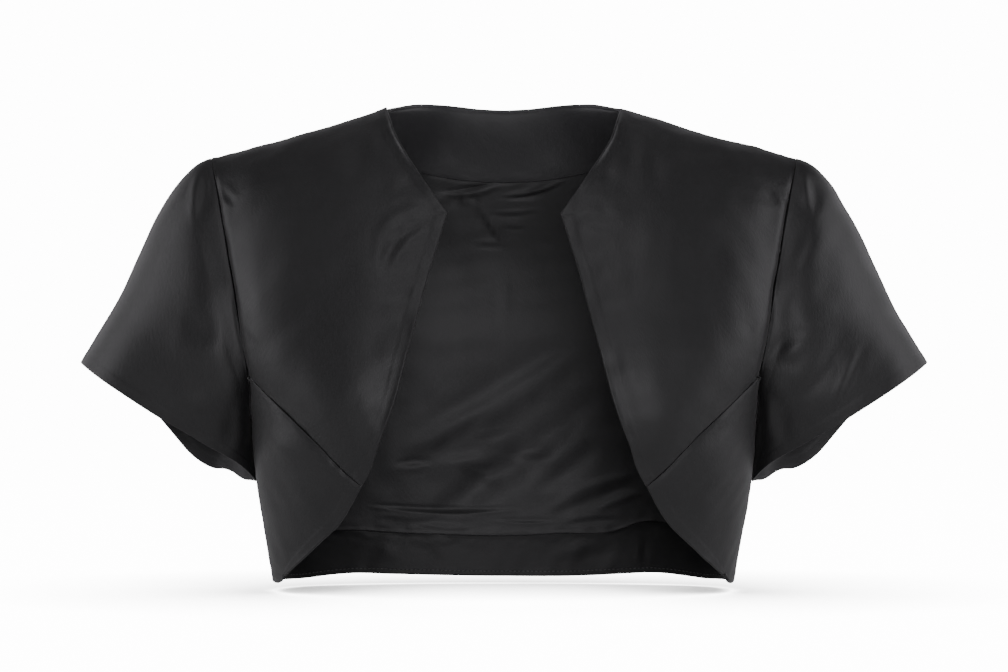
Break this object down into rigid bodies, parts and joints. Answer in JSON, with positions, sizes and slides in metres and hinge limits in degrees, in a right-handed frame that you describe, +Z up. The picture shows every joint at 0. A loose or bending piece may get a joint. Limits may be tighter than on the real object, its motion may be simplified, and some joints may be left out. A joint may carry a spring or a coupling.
{
  "type": "bolero jacket",
  "caption": "Cropped open-front satin bolero jacket with short flared set-in sleeves, held in its filled-out, worn form with a pointed, cut-away front.",
  "frame": {"origin": "midway between the two high points of the shoulders beside the neck, where the wearer's shoulders hold it", "axes": "+Z up; the front faces -Y; +X is to the right of someone who looks at the front"},
  "size_m": [0.5764, 0.2163, 0.3273],
  "materials": {
    "outer_satin": "black duchess satin with a soft sheen",
    "facing_satin": "black duchess satin, used as facing",
    "lining": "black lining cloth with a light sheen"
  },
  "bodies": {
    "root": {"back": "outer_satin", "front_upper_left": "outer_satin", "front_upper_right": "outer_satin", "front_lower_left": "outer_satin", "front_lower_right": "outer_satin", "sleeve_left": "outer_satin", "sleeve_right": "outer_satin", "back_neck_facing": "facing_satin", "back_hem_facing": "facing_satin", "back_lining": "lining"}
  },
  "joints": []
}
